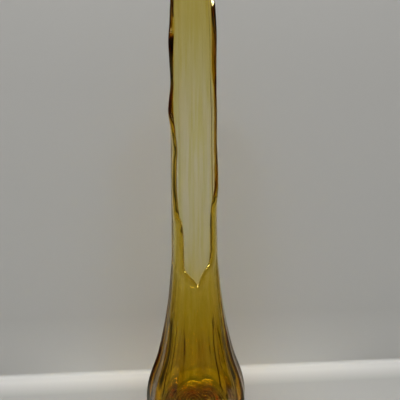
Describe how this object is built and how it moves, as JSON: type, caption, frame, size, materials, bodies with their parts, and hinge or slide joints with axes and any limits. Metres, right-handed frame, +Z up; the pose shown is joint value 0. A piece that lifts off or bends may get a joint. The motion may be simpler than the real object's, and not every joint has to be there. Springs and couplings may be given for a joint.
{
  "type": "swung glass vase",
  "caption": "Tall swung vase of amber glass with a fluted bell base on a short foot and a neck that is open in a long notch at the front, so its back stands as a tongue.",
  "frame": {"origin": "centre of the vase's bounding box on the surface that it stands on, which is the middle of the foot", "axes": "+Z up along the neck, the open notch faces -Y, +X to the right seen from the open side"},
  "size_m": [0.1128, 0.1128, 0.5079],
  "materials": {
    "amber_glass": "clear amber glass, fire-polished, with fine drawn streaks along the neck"
  },
  "bodies": {
    "root": {"glass_body": "amber_glass"}
  },
  "joints": []
}
